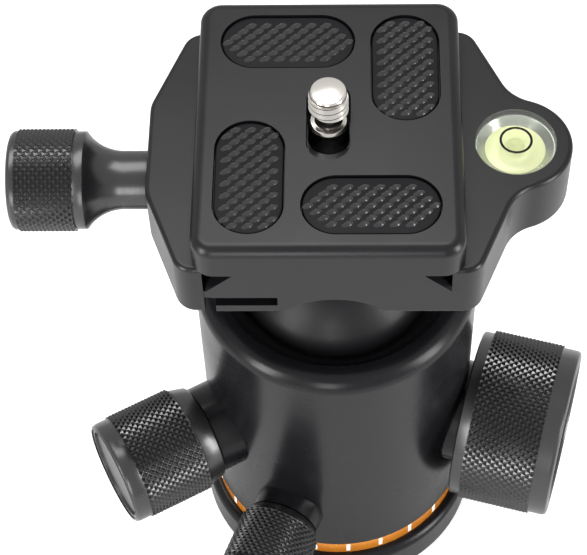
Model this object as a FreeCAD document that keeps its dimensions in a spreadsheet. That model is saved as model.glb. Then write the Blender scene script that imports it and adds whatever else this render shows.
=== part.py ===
import FreeCAD, Part
import math
import os
import re
import Sketcher

# Tripod ball head, in millimetres.
# The origin is the mouth of the tripod thread. +Z is up, and the front of the head faces -Y.
# The stack on the Z axis is base, scale ring, housing with ball, stem, clamp, plate and camera screw.

Vector = FreeCAD.Vector

# Every driving size: its name, its value and what it measures. Angles are in degrees.
SIZES = [
    ("slip", 0.05, "radial clearance of a running fit"),
    ("base_radius", 26.3, "base plate"),
    ("base_height", 8.6, "base plate"),
    ("base_chamfer", 0.8, "lower edge of the base plate"),
    ("base_round", 1.6, "upper edge of the base plate"),
    ("thread_radius", 3.97, "tapped bore for the tripod screw"),
    ("bush_radius", 6.5, "steel bush that holds the tripod thread"),
    ("bush_length", 12.4, "steel bush that holds the tripod thread"),
    ("bush_clearance", 0.4, "end of the bush to the spindle"),
    ("base_screw_circle", 9.2, "distance of the base screws from the axis"),
    ("base_screw_radius", 1.25, "shank of a base screw"),
    ("base_screw_head", 2.2, "head radius of a base screw"),
    ("base_screw_sink", 0.3, "how far the heads lie below the bottom face"),
    ("base_screw_head_height", 1.7, "head of a base screw"),
    ("base_screw_length", 14.0, "shank of a base screw"),
    ("base_screw_socket", 1.1, "socket in a base screw head, centre to corner"),
    ("base_screw_socket_depth", 1.2, "socket in a base screw head"),
    ("scale_outer", 24.3, "scale ring"),
    ("scale_inner", 21.2, "scale ring"),
    ("scale_height", 3.4, "scale ring"),
    ("spindle_flange", 18.0, "radius of the flange under the washer"),
    ("spindle_flange_height", 2.2, "flange under the washer"),
    ("spindle_post", 11.0, "radius of the post that the housing turns on"),
    ("spindle_top", 27.3, "top of the post above the base's bottom face"),
    ("collar_radius", 15.0, "collar that holds the housing down"),
    ("collar_height", 6.0, "collar that holds the housing down"),
    ("collar_gap", 0.3, "collar to the housing's chamber"),
    ("spanner_circle", 13.0, "distance of the collar's spanner holes from the axis"),
    ("spanner_hole", 0.9, "radius of a spanner hole"),
    ("spanner_depth", 3.0, "depth of a spanner hole"),
    ("housing_radius", 24.6, "outside of the housing"),
    ("rim_rise", 9.0, "rim of the housing above the ball's centre"),
    ("rim_round", 3.2, "outer rounding of the rim"),
    ("rim_chamfer", 0.4, "inner edge of the rim"),
    ("housing_foot_chamfer", 0.5, "lower edge of the housing"),
    ("chamber_radius", 14.2, "space under the ball cup"),
    ("ball_radius", 18.0, "ball"),
    ("ball_rise", 30.8, "centre of the ball above the ball lock axis"),
    ("seat_wall", 2.35, "outside of the seat ring to the ball's seat"),
    ("seat_low", 1.6, "seat ring's lower face above the ball's centre"),
    ("seat_lip", 5.9, "seat ring's narrowest point above the ball's centre"),
    ("seat_drop", 1.0, "seat ring's top below the rim"),
    ("seat_rim", 1.2, "flat top of the seat ring round its flared mouth"),
    ("cup_radius", 18.6, "ball cup"),
    ("cup_rim_depth", 11.0, "cup's rim below the ball's centre"),
    ("cup_floor_depth", 20.5, "cup's flat underside below the ball's centre"),
    ("cup_cone_radius", 14.0, "cone under the cup, upper end"),
    ("cup_tip_radius", 5.0, "cone under the cup, lower end"),
    ("cup_drop_room", 1.7, "space below the cup's flat underside"),
    ("notch_half_width", 7.8, "slot in the rim that the stem drops into"),
    ("stem_radius", 6.5, "neck of the stem"),
    ("stem_foot", 7.2, "foot of the stem on the ball"),
    ("stem_foot_height", 2.2, "flare between foot and neck"),
    ("stem_rise", 30.6, "clamp's underside above the ball's centre"),
    ("stem_flange", 11.5, "flange under the clamp"),
    ("stem_flange_height", 1.5, "flange under the clamp"),
    ("stem_cone_height", 1.4, "cone between neck and flange"),
    ("mount_screw_radius", 2.5, "screw through the clamp into the stem"),
    ("mount_screw_depth", 9.0, "how far that screw enters the stem"),
    ("mount_head_radius", 4.5, "head of that screw"),
    ("mount_head_height", 2.8, "head of that screw"),
    ("mount_head_socket", 2.3, "socket in that head, centre to corner"),
    ("mount_socket_depth", 2.0, "socket in that head"),
    ("mount_head_room", 0.1, "that head to the clamp's floor"),
    ("mount_tip_room", 0.5, "end of that screw to the bottom of its bore"),
    ("lock_azimuth", -15.1, "ball lock knob, from +X"),
    ("lock_rise", 4.9, "ball lock axis above the spindle's top"),
    ("lock_boss_radius", 9.5, "boss on the housing"),
    ("lock_boss_step", 0.5, "boss face past the outside of the housing"),
    ("lock_gap", 0.2, "knob to boss"),
    ("lock_flange_radius", 15.4, "knob flange, at the housing"),
    ("lock_flange_top", 15.4, "knob flange, at the grip"),
    ("lock_flange_length", 2.1, "knob flange"),
    ("lock_grip_radius", 16.0, "knurled grip"),
    ("lock_grip_length", 12.9, "knurled grip"),
    ("lock_end_radius", 15.6, "end ring"),
    ("lock_end_length", 3.4, "end ring"),
    ("lock_cap_radius", 12.3, "end cap's recess"),
    ("lock_plunger_radius", 4.0, "wedge that lifts the cup"),
    ("lock_plunger_tip", 3.0, "inner end of the wedge from the axis of the head"),
    ("lock_plunger_end", 17.0, "outer end of the wedge from the axis of the head"),
    ("lock_nose_gap", 0.3, "wedge to cone"),
    ("lock_screw_radius", 3.0, "lock screw"),
    ("friction_azimuth", 209.3, "friction knob, from +X"),
    ("friction_drop", 25.6, "friction axis below the ball's centre"),
    ("friction_boss_radius", 8.2, "boss on the housing"),
    ("friction_boss_step", 3.3, "boss face past the outside of the housing"),
    ("friction_gap", 0.2, "knob to boss"),
    ("friction_flange_radius", 8.8, "knob flange, at the housing"),
    ("friction_flange_top", 9.6, "knob flange, at the grip"),
    ("friction_flange_length", 3.5, "knob flange"),
    ("friction_grip_radius", 10.0, "knurled grip"),
    ("friction_grip_length", 11.8, "knurled grip"),
    ("friction_end_radius", 9.7, "end ring"),
    ("friction_end_length", 3.2, "end ring"),
    ("friction_cap_radius", 8.3, "end cap's recess"),
    ("friction_plunger_radius", 3.0, "wedge that presses the cup"),
    ("friction_plunger_tip", 8.0, "inner end of the wedge from the axis of the head"),
    ("friction_plunger_end", 19.0, "outer end of the wedge from the axis of the head"),
    ("friction_nose_gap", 0.8, "wedge to cone"),
    ("friction_screw_radius", 2.5, "friction screw"),
    ("pan_azimuth", 248.7, "pan lock knob, from +X"),
    ("pan_drop", 2.9, "pan lock axis below the spindle's top"),
    ("pan_boss_radius", 6.4, "boss on the housing"),
    ("pan_boss_step", 2.7, "boss face past the outside of the housing"),
    ("pan_gap", 0.2, "knob to boss"),
    ("pan_flange_radius", 6.6, "knob flange, at the housing"),
    ("pan_flange_top", 7.2, "knob flange, at the grip"),
    ("pan_flange_length", 1.8, "knob flange"),
    ("pan_grip_radius", 7.5, "knurled grip"),
    ("pan_grip_length", 9.9, "knurled grip"),
    ("pan_end_radius", 7.2, "end ring"),
    ("pan_end_length", 2.4, "end ring"),
    ("pan_cap_radius", 5.8, "end cap's recess"),
    ("pan_plunger_radius", 2.5, "pad that presses the collar"),
    ("pan_plunger_end", 19.5, "outer end of the pad from the axis of the head"),
    ("pan_nose_gap", 0.1, "pad to collar"),
    ("pan_screw_radius", 2.0, "pan lock screw"),
    ("cap_recess", 2.4, "depth of a knob's end recess"),
    ("cap_thickness", 1.6, "end cap of a knob"),
    ("cap_gap", 0.15, "end cap to its recess, round the edge"),
    ("screw_cover", 1.0, "metal between a knob's screw and its recess"),
    ("knob_round", 0.8, "rounding of a knob's end ring"),
    ("clamp_floor", 5.8, "floor of the clamp"),
    ("clamp_height", 11.8, "whole height of the clamp"),
    ("clamp_half_length", 24.0, "clamp along Y, from its middle"),
    ("clamp_corner", 3.5, "corner rounding of the clamp, seen from above"),
    ("clamp_edge", 0.8, "top edge rounding of the clamp"),
    ("clamp_shift", -0.9, "middle of the dovetail from the axis of the head"),
    ("clamp_left", 17.7, "fixed half's left edge from the middle of the dovetail"),
    ("clamp_shoulder", 23.2, "fixed half's right corner from the middle of the dovetail"),
    ("lobe_reach", 29.75, "centre of the level from the middle of the dovetail"),
    ("lobe_side", 0.7, "centre of the level along Y"),
    ("lobe_radius", 9.1, "round end that holds the level"),
    ("lobe_blend", 7.0, "hollow rounding between that end and the clamp's sides"),
    ("lip_end", 21.0, "end of the gripping lips, from the middle"),
    ("tongue_start", 12.8, "inner end of a jaw tongue along Y"),
    ("tongue_end", 23.6, "outer end of a jaw tongue along Y"),
    ("tongue_reach", 10.6, "tip of a jaw tongue from the middle of the dovetail"),
    ("tongue_height", 1.9, "jaw tongue"),
    ("tongue_gap", 0.2, "jaw tongue to the side of its pocket"),
    ("pocket_reach", 8.0, "end of a tongue's pocket from the middle of the dovetail"),
    ("pocket_floor", 2.2, "metal under a tongue's pocket"),
    ("arch_half_width", 10.2, "relief under the clamp's end"),
    ("arch_height", 3.8, "relief under the clamp's end"),
    ("arch_start", 16.0, "inner end of the relief along Y"),
    ("arch_round", 4.0, "rounding where the relief runs out into the underside"),
    ("jaw_back", 29.0, "jaw's outer face from the middle of the dovetail"),
    ("jaw_wall", 19.5, "jaw's inner face from the middle of the dovetail"),
    ("jaw_flat_half", 8.8, "half length of the jaw's outer face"),
    ("jaw_round", 6.0, "rounding at the ends of the jaw's outer face"),
    ("jaw_corner_reach", 23.2, "jaw's outer corner from the middle of the dovetail"),
    ("jaw_half_length", 23.8, "jaw along Y, from its middle"),
    ("grip_gap", 0.05, "plate to the clamp's lips"),
    ("seat_gap", 0.1, "plate to the clamp's top and floor"),
    ("pin_side", 9.0, "guide pins along Y, from the middle"),
    ("pin_radius", 1.5, "guide pin"),
    ("pin_depth", 9.0, "guide pin inside the fixed half"),
    ("pin_reach", 8.0, "guide pin past the fixed half's left edge"),
    ("pin_end_room", 1.0, "space past the pin's end inside the jaw"),
    ("spring_outer", 2.3, "jaw spring"),
    ("spring_depth", 5.0, "jaw spring's bore in the fixed half"),
    ("spring_wire", 0.45, "wire of a jaw spring"),
    ("clamp_screw_radius", 2.0, "clamp screw"),
    ("clamp_screw_tip", 7.0, "end of the clamp screw from the axis of the head"),
    ("clamp_screw_bore_end", 6.4, "end of its thread from the axis of the head"),
    ("clamp_screw_play", 0.2, "clamp screw to its hole in the jaw"),
    ("clamp_knob_gap", 0.1, "clamp knob to jaw"),
    ("clamp_neck_radius", 4.8, "neck of the clamp knob"),
    ("clamp_neck_length", 4.3, "straight part of that neck"),
    ("clamp_cove_length", 6.1, "cove between neck and ring"),
    ("clamp_ring_radius", 8.0, "ring before the grip"),
    ("clamp_ring_length", 1.8, "ring before the grip"),
    ("clamp_grip_radius", 8.4, "knurled grip of the clamp knob"),
    ("clamp_grip_length", 9.2, "knurled grip of the clamp knob"),
    ("clamp_end_radius", 8.1, "end of the clamp knob"),
    ("clamp_end_length", 1.4, "end of the clamp knob"),
    ("level_radius", 6.5, "bubble level"),
    ("level_wall", 0.5, "cup of the bubble level"),
    ("level_depth", 5.6, "pocket of the bubble level"),
    ("lens_height", 1.4, "clear cap of the bubble level"),
    ("lens_stand", 0.5, "cap above the clamp's top"),
    ("target_radius", 2.65, "ring printed on the cap"),
    ("target_line", 0.4, "width of that ring"),
    ("target_thickness", 0.15, "thickness of that ring"),
    ("bubble_radius", 1.5, "air bubble"),
    ("bubble_depth", 0.6, "air bubble"),
    ("plate_width", 42.0, "camera plate"),
    ("plate_length", 50.0, "camera plate"),
    ("plate_slab", 6.5, "camera plate above the clamp"),
    ("plate_corner", 3.5, "corner rounding of the plate, seen from above"),
    ("plate_edge", 1.8, "top edge rounding of the plate"),
    ("dovetail_width", 38.0, "foot of the dovetail"),
    ("dovetail_flank", 4.3, "height and width of the 45 degree flank"),
    ("dovetail_height", 6.0, "dovetail below the slab"),
    ("slot_width", 7.0, "slot for the camera screw"),
    ("slot_travel", 4.3, "slot's end centres from the middle"),
    ("well_radius", 8.0, "well under the slot"),
    ("well_roof", 7.0, "plate above the well"),
    ("pad_length", 21.7, "rubber pad"),
    ("pad_width", 11.1, "rubber pad"),
    ("pad_pocket", 2.0, "depth of a pad's pocket"),
    ("pad_height", 1.9, "rubber pad"),
    ("pad_gap", 0.25, "pad to the side of its pocket"),
    ("pad_margin", 8.8, "middle line of a pad from the plate's edge beside it"),
    ("end_pad_margin", 14.4, "centre of an end pad from the plate's side edge"),
    ("side_pad_margin", 14.2, "centre of a side pad from the plate's end"),
    ("camera_screw_place", 2.1, "camera screw along Y"),
    ("camera_thread_radius", 3.175, "camera thread"),
    ("camera_thread_length", 4.8, "camera thread above the plate"),
    ("camera_thread_tip", 0.5, "chamfer of the camera thread"),
    ("camera_neck_radius", 2.2, "neck below the thread"),
    ("camera_neck_length", 2.5, "neck below the thread"),
    ("camera_shoulder_radius", 3.3, "shoulder inside the slot"),
    ("camera_head_radius", 7.0, "head under the plate"),
    ("camera_head_height", 3.0, "head under the plate"),
    ("camera_slot_width", 1.4, "coin slot in the head"),
    ("camera_slot_depth", 1.3, "coin slot in the head"),
    ("keeper_radius", 7.5, "keeper washer of the camera screw"),
    ("keeper_thickness", 1.4, "keeper washer of the camera screw"),
    ("keeper_play", 0.1, "keeper washer to its neighbours"),
]

# Places that follow from the sizes and may be named in any formula like a size.
PLACES = {
    "lock_height": "(spindle_top + lock_rise)",
    "pan_height": "(spindle_top - pan_drop)",
    "ball_height": "(spindle_top + lock_rise + ball_rise)",
    "friction_height": "(spindle_top + lock_rise + ball_rise - friction_drop)",
    "housing_top": "(spindle_top + lock_rise + ball_rise + rim_rise)",
    "seat_radius": "(ball_radius + slip + seat_wall)",
    "lock_boss_reach": "(housing_radius + lock_boss_step)",
    "friction_boss_reach": "(housing_radius + friction_boss_step)",
    "pan_boss_reach": "(housing_radius + pan_boss_step)",
    "end_pad_across": "(plate_width / 2 - end_pad_margin)",
    "end_pad_along": "(plate_length / 2 - pad_margin)",
    "side_pad_across": "(plate_width / 2 - pad_margin)",
    "side_pad_along": "(plate_length / 2 - side_pad_margin)",
}

# Longer places, written as the sheet's own formulas.
RING_TOP = "(base_height + scale_height)"
FLANGE_TOP = "(base_height + spindle_flange_height)"
HOUSING_FOOT = "(base_height + scale_height + slip)"
COLLAR_LOW = "(spindle_top - collar_height)"
CHAMBER_LOW = "(spindle_top - collar_height - collar_gap)"
CHAMBER_TOP = "(spindle_top + collar_gap + 4 * slip)"
BALL_FIT = "(ball_radius + slip)"
SEAT_LOW = "(ball_height + seat_low)"
CUP_FLOOR = "(ball_height - cup_floor_depth)"
CUP_TIP = "(ball_height - cup_floor_depth - cup_cone_radius + cup_tip_radius)"
CONE_ZERO = "(ball_height - cup_floor_depth - cup_cone_radius)"
CLAMP_LOW = "(ball_height + stem_rise)"
PLATE_TOP = "(ball_height + stem_rise + clamp_height + seat_gap + plate_slab)"
DOVETAIL_NECK = "(dovetail_width / 2 - dovetail_flank)"
DIAGONAL = "1.41421356"
LIP = "(dovetail_width / 2 - dovetail_flank + seat_gap + grip_gap * %s)" % DIAGONAL
SCREW_LEVEL = "(clamp_floor / 2)"

document = FreeCAD.newDocument("ball_head")
sheet = document.addObject("Spreadsheet::Sheet", "Sizes")
for row, (name, value, note) in enumerate(SIZES, start=1):
    sheet.set("A%d" % row, name)
    sheet.set("B%d" % row, str(value))
    sheet.set("C%d" % row, note)
    sheet.setAlias("B%d" % row, name)
document.recompute()

NAMES = {name for name, value, note in SIZES}
subparts = []


def formula(text):
    """The same formula with places written out and each size's name pointing at the sheet."""
    def linked(match):
        word = match.group()
        if word in PLACES:
            return formula(PLACES[word])
        return "Sizes." + word if word in NAMES else word
    return re.sub(r"[a-z][a-z_]*", linked, text)


def number(text):
    return float(sheet.evalExpression(formula(text)))


def bind(item, setting, text):
    item.setExpression(setting, formula(text))


def place(item, x="0", y="0", z="0", turn=None):
    """Puts a sub-part at a point, turned about the vertical by an angle in degrees."""
    if turn is not None:
        item.Placement = FreeCAD.Placement(Vector(), FreeCAD.Rotation(Vector(0, 0, 1), 10))
        bind(item, "Placement.Rotation.Angle", turn)
    bind(item, "Placement.Base.x", x)
    bind(item, "Placement.Base.y", y)
    bind(item, "Placement.Base.z", z)


def new_body(label):
    body = document.addObject("PartDesign::Body", "Body")
    body.Label = label
    subparts.append(body)
    return body


def origin_part(body, role):
    return [item for item in body.Origin.OriginFeatures if item.Role == role][0]


def new_sketch(body, plane, lift="0", up="0", turn=None):
    """A sketch on an origin plane, moved along its normal and up, and turned about its own Y."""
    sketch = body.newObject("Sketcher::SketchObject", "Sketch")
    sketch.AttachmentSupport = [(origin_part(body, plane), "")]
    sketch.MapMode = "FlatFace"
    if turn is not None:
        sketch.AttachmentOffset = FreeCAD.Placement(Vector(), FreeCAD.Rotation(Vector(0, 1, 0), 10))
        bind(sketch, "AttachmentOffset.Rotation.Angle", turn)
    bind(sketch, "AttachmentOffset.Base.y", up)
    bind(sketch, "AttachmentOffset.Base.z", lift)
    return sketch


def fix_point(sketch, edge, end, x, y):
    for kind, text in (("DistanceX", x), ("DistanceY", y)):
        index = sketch.addConstraint(Sketcher.Constraint(kind, -1, 1, edge, end, number(text)))
        bind(sketch, "Constraints[%d]" % index, text)


def outline(sketch, points):
    """A closed outline. A point is (x, y), or (x, y, radius, turn) where an arc leads to it."""
    spots = [Vector(number(point[0]), number(point[1]), 0) for point in points]
    ends = []
    for index, point in enumerate(points):
        start = spots[index - 1]
        finish = spots[index]
        if len(point) == 2:
            sketch.addGeometry(Part.LineSegment(start, finish))
            ends.append((1, 2))
        else:
            sketch.addGeometry(arc_between(start, finish, number(point[2]), point[3]))
            ends.append((1, 2) if point[3] == "left" else (2, 1))
    for index, point in enumerate(points):
        before = (index - 1) % len(points)
        joined = Sketcher.Constraint("Coincident", before, ends[before][1], index, ends[index][0])
        sketch.addConstraint(joined)
        fix_point(sketch, index, ends[index][1], point[0], point[1])
        if len(point) > 2:
            radius = Sketcher.Constraint("Radius", index, number(point[2]))
            bind(sketch, "Constraints[%d]" % sketch.addConstraint(radius), point[2])
    return sketch


def arc_between(start, finish, radius, turn):
    """The shorter arc from start to finish that bends to the left or to the right."""
    side = 1 if turn == "left" else -1
    chord = finish - start
    across = Vector(-chord.y, chord.x, 0).normalize() * side
    height = math.sqrt(max(radius ** 2 - chord.Length ** 2 / 4, 0))
    centre = (start + finish) / 2 + across * height
    circle = Part.Circle(centre, Vector(0, 0, 1), radius)
    first = start if turn == "left" else finish
    last = finish if turn == "left" else start
    return Part.ArcOfCircle(circle, circle.parameter(first), circle.parameter(last))


def circles(sketch, centres, radius):
    for x, y in centres:
        middle = Vector(number(x), number(y), 0)
        edge = sketch.addGeometry(Part.Circle(middle, Vector(0, 0, 1), number(radius)))
        fix_point(sketch, edge, 3, x, y)
        index = sketch.addConstraint(Sketcher.Constraint("Radius", edge, number(radius)))
        bind(sketch, "Constraints[%d]" % index, radius)
    return sketch


def rectangle(sketch, low_x, high_x, low_y, high_y):
    return outline(sketch, [(low_x, low_y), (high_x, low_y), (high_x, high_y), (low_x, high_y)])


def obround(sketch, x, y, half_length, radius, along):
    """A slot shape round a centre, with its straight sides along X or along Y."""
    reach = "(%s - %s)" % (half_length, radius)
    if along == "x":
        points = [
            ("%s - %s" % (x, half_length), y, radius, "left"),
            ("%s - %s" % (x, reach), "%s - %s" % (y, radius), radius, "left"),
            ("%s + %s" % (x, reach), "%s - %s" % (y, radius)),
            ("%s + %s" % (x, half_length), y, radius, "left"),
            ("%s + %s" % (x, reach), "%s + %s" % (y, radius), radius, "left"),
            ("%s - %s" % (x, reach), "%s + %s" % (y, radius)),
        ]
    else:
        points = [
            (x, "%s - %s" % (y, half_length), radius, "left"),
            ("%s + %s" % (x, radius), "%s - %s" % (y, reach), radius, "left"),
            ("%s + %s" % (x, radius), "%s + %s" % (y, reach)),
            (x, "%s + %s" % (y, half_length), radius, "left"),
            ("%s - %s" % (x, radius), "%s + %s" % (y, reach), radius, "left"),
            ("%s - %s" % (x, radius), "%s - %s" % (y, reach)),
        ]
    return outline(sketch, points)


def hexagon(sketch, x, y, corner):
    points = []
    for step in range(6):
        angle = math.radians(60 * step)
        along = "%s + %s * %.6f" % (x, corner, math.cos(angle))
        points.append((along, "%s + %s * %.6f" % (y, corner, math.sin(angle))))
    return outline(sketch, points)


def feature(body, kind, sketch, length=None, reverse=False, both=False):
    item = body.newObject("PartDesign::" + kind, kind)
    item.Profile = sketch
    item.Reversed = reverse
    if length is not None:
        bind(item, "Length", length)
    if both:
        item.SideType = "Symmetric"
    document.recompute()
    return item


def spun(body, kind, sketch, axis):
    """A full turn of the sketch about one of the body's own axes."""
    item = body.newObject("PartDesign::" + kind, kind)
    item.Profile = sketch
    item.ReferenceAxis = (origin_part(body, axis), [""])
    item.Angle = 360
    document.recompute()
    return item


def lathe(body, points):
    """Turns an outline of (radius, height) points about the vertical."""
    return spun(body, "Revolution", outline(new_sketch(body, "XZ_Plane"), points), "Z_Axis")


def cross_lathe(body, points):
    """Turns an outline of (distance, radius) points about the body's X axis."""
    return spun(body, "Revolution", outline(new_sketch(body, "XZ_Plane"), points), "X_Axis")


def polar_pattern(body, originals, count):
    pattern = body.newObject("PartDesign::PolarPattern", "PolarPattern")
    pattern.Originals = originals
    pattern.Axis = (origin_part(body, "Z_Axis"), [""])
    pattern.Angle = 360
    pattern.Occurrences = count
    body.Tip = pattern
    document.recompute()
    return pattern


def soften(body, kind, size, test):
    """Rounds or chamfers the edges of the body that pass the test."""
    tip = body.Tip
    names = []
    for index, edge in enumerate(tip.Shape.Edges, start=1):
        if test(edge):
            names.append("Edge%d" % index)
    item = body.newObject("PartDesign::" + kind, kind)
    item.Base = (tip, names)
    bind(item, "Radius" if kind == "Fillet" else "Size", size)
    document.recompute()
    return item


def is_upright(edge):
    first, last = edge.Vertexes[0].Point, edge.Vertexes[-1].Point
    return math.hypot(first.x - last.x, first.y - last.y) < 1e-6 and abs(first.z - last.z) > 0.5


def is_level_at(edge, height):
    return all(abs(vertex.Z - height) < 1e-6 for vertex in edge.Vertexes)


def ring(label, inner, outer, low, high):
    body = new_body(label)
    lathe(body, [(inner, low), (outer, low), (outer, high), (inner, high)])
    return body


# Base


def make_base_plate():
    body = new_body("base_plate")
    lathe(body, [
        ("bush_radius", "0"),
        ("base_radius - base_chamfer", "0"),
        ("base_radius", "base_chamfer"),
        ("base_radius", "base_height - base_round"),
        ("base_radius - base_round", "base_height", "base_round", "left"),
        ("bush_radius", "base_height"),
    ])
    shank = circles(new_sketch(body, "XY_Plane"), [("base_screw_circle", "0")], "base_screw_radius")
    hole = feature(body, "Pocket", shank, "base_height", reverse=True)
    polar_pattern(body, [hole], 4)
    head = circles(new_sketch(body, "XY_Plane"), [("base_screw_circle", "0")], "base_screw_head + slip")
    sink = feature(body, "Pocket", head, "base_screw_sink + base_screw_head_height", reverse=True)
    polar_pattern(body, [sink], 4)


def make_base_screws():
    body = new_body("base_screws")
    centre = [("base_screw_circle", "0")]
    low = new_sketch(body, "XY_Plane", lift="base_screw_sink")
    head = feature(body, "Pad", circles(low, centre, "base_screw_head"), "base_screw_head_height")
    middle = new_sketch(body, "XY_Plane", lift="base_screw_sink + base_screw_head_height")
    shank = feature(body, "Pad", circles(middle, centre, "base_screw_radius"), "base_screw_length")
    corners = hexagon(new_sketch(body, "XY_Plane", lift="base_screw_sink"),
                      "base_screw_circle", "0", "base_screw_socket")
    socket = feature(body, "Pocket", corners, "base_screw_socket_depth", reverse=True)
    polar_pattern(body, [head, shank, socket], 4)


def make_pan_spindle():
    body = new_body("pan_spindle")
    lathe(body, [
        ("bush_radius + slip", "base_height"),
        ("spindle_flange", "base_height"),
        ("spindle_flange", FLANGE_TOP),
        ("spindle_post", FLANGE_TOP),
        ("spindle_post", "spindle_top"),
        ("0", "spindle_top"),
        ("0", "bush_length + bush_clearance"),
        ("bush_radius + slip", "bush_length + bush_clearance"),
    ])
    sketch = new_sketch(body, "XY_Plane", lift="base_height")
    circles(sketch, [("base_screw_circle", "0")], "base_screw_radius")
    depth = "base_screw_sink + base_screw_head_height + base_screw_length - base_height"
    hole = feature(body, "Pocket", sketch, depth, reverse=True)
    polar_pattern(body, [hole], 4)


def make_spindle_collar():
    body = ring("spindle_collar", "spindle_post", "collar_radius", COLLAR_LOW, "spindle_top")
    sketch = new_sketch(body, "XY_Plane", lift="spindle_top")
    circles(sketch, [("spanner_circle", "0")], "spanner_hole")
    hole = feature(body, "Pocket", sketch, "spanner_depth")
    polar_pattern(body, [hole], 4)


# Housing and what it holds


def radial_bore(body, prefix, radius, end):
    """A round bore on a knob's axis, from the axis of the head outwards."""
    sketch = new_sketch(body, "YZ_Plane", up=prefix + "_height", turn=prefix + "_azimuth")
    circles(sketch, [("0", "0")], radius)
    feature(body, "Pocket", sketch, end, reverse=True)


def make_housing():
    body = new_body("housing")
    lathe(body, [
        ("0", HOUSING_FOOT),
        ("housing_radius - housing_foot_chamfer", HOUSING_FOOT),
        ("housing_radius", HOUSING_FOOT + " + housing_foot_chamfer"),
        ("housing_radius", "housing_top - rim_round"),
        ("housing_radius - rim_round", "housing_top", "rim_round", "left"),
        ("0", "housing_top"),
    ])
    for prefix in ("lock", "friction", "pan"):
        sketch = new_sketch(body, "YZ_Plane", up=prefix + "_height", turn=prefix + "_azimuth")
        circles(sketch, [("0", "0")], prefix + "_boss_radius")
        feature(body, "Pad", sketch, prefix + "_boss_reach")
    inside = outline(new_sketch(body, "XZ_Plane"), [
        ("0", HOUSING_FOOT + " - 1"),
        ("spindle_post + slip", HOUSING_FOOT + " - 1"),
        ("spindle_post + slip", CHAMBER_LOW),
        ("collar_radius + collar_gap", CHAMBER_LOW),
        ("collar_radius + collar_gap", CHAMBER_TOP),
        ("chamber_radius", CHAMBER_TOP),
        ("chamber_radius", CUP_FLOOR + " - cup_drop_room"),
        ("cup_radius + slip", CUP_FLOOR + " - cup_drop_room"),
        ("cup_radius + slip", SEAT_LOW),
        ("seat_radius", SEAT_LOW),
        ("seat_radius", "housing_top - rim_chamfer"),
        ("seat_radius + rim_chamfer", "housing_top"),
        ("seat_radius + rim_chamfer", "housing_top + 1"),
        ("0", "housing_top + 1"),
    ])
    spun(body, "Groove", inside, "Z_Axis")
    for prefix in ("lock", "friction", "pan"):
        radial_bore(body, prefix, prefix + "_screw_radius + slip", prefix + "_boss_reach + 1")
        radial_bore(body, prefix, prefix + "_plunger_radius + slip", prefix + "_plunger_end + 1")
    cut_notch(body)


def cut_notch(body):
    """The slot at the back of the rim that lets the stem lie level."""
    rise = "(housing_top - ball_height + 1)"
    sketch = outline(new_sketch(body, "XZ_Plane", up="ball_height"), [
        ("-notch_half_width", rise),
        ("-notch_half_width", "0"),
        ("0", "-notch_half_width", "notch_half_width", "left"),
        ("notch_half_width", "0", "notch_half_width", "left"),
        ("notch_half_width", rise),
    ])
    feature(body, "Pocket", sketch, "housing_radius + 1")


def make_ball_seat_ring():
    body = new_body("ball_seat_ring")
    lathe(body, [
        ("seat_radius", SEAT_LOW),
        ("seat_radius", "housing_top - seat_drop"),
        ("seat_radius - seat_rim", "housing_top - seat_drop"),
        ("sqrt(%s ^ 2 - seat_lip ^ 2)" % BALL_FIT, "ball_height + seat_lip"),
        ("sqrt(%s ^ 2 - seat_low ^ 2)" % BALL_FIT, SEAT_LOW, BALL_FIT, "right"),
    ])
    cut_notch(body)


def make_ball_cup():
    body = new_body("ball_cup")
    lathe(body, [
        ("0", CUP_TIP),
        ("cup_tip_radius", CUP_TIP),
        ("cup_cone_radius", CUP_FLOOR),
        ("cup_radius", CUP_FLOOR),
        ("cup_radius", "ball_height - cup_rim_depth"),
        ("sqrt(%s ^ 2 - cup_rim_depth ^ 2)" % BALL_FIT, "ball_height - cup_rim_depth"),
        ("0", "ball_height - " + BALL_FIT, BALL_FIT, "right"),
    ])


def make_ball():
    ball = document.addObject("Part::Sphere", "Ball")
    ball.Label = "ball"
    bind(ball, "Radius", "ball_radius")
    place(ball, z="ball_height")
    subparts.append(ball)


def make_ball_stem():
    body = new_body("ball_stem")
    foot = "(ball_height + sqrt(%s ^ 2 - stem_foot ^ 2))" % BALL_FIT
    top = "(%s - slip)" % CLAMP_LOW
    lathe(body, [
        ("0", "ball_height + " + BALL_FIT),
        ("stem_foot", foot, BALL_FIT, "right"),
        ("stem_radius", foot + " + stem_foot_height"),
        ("stem_radius", top + " - stem_flange_height - stem_cone_height"),
        ("stem_flange", top + " - stem_flange_height"),
        ("stem_flange", top),
        ("mount_screw_radius + slip", top),
        ("mount_screw_radius + slip", CLAMP_LOW + " - mount_screw_depth - mount_tip_room"),
        ("0", CLAMP_LOW + " - mount_screw_depth - mount_tip_room"),
    ])


# Knobs on the housing. Each is drawn along +X and turned to its own side.


def put_on_axis(item, prefix):
    place(item, z=prefix + "_height", turn=prefix + "_azimuth")


def make_plunger(prefix, label):
    """A wedge whose nose follows the cone under the ball cup."""
    body = new_body(label)
    start = prefix + "_plunger_tip"
    sketch = new_sketch(body, "YZ_Plane", lift=start)
    circles(sketch, [("0", "0")], prefix + "_plunger_radius")
    feature(body, "Pad", sketch, "%s_plunger_end - %s" % (prefix, start))
    top = "(%s_plunger_radius + 1)" % prefix
    offset = "(%s_height - %s + %s_nose_gap * %s)" % (prefix, CONE_ZERO, prefix, DIAGONAL)
    nose = outline(new_sketch(body, "XZ_Plane"), [
        ("%s - 1" % start, "%s - 1 - %s" % (start, offset)),
        ("%s + %s" % (top, offset), top),
        ("%s - 1" % start, top),
    ])
    feature(body, "Pocket", nose, "4 * %s_plunger_radius" % prefix, both=True)
    put_on_axis(body, prefix)


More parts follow.
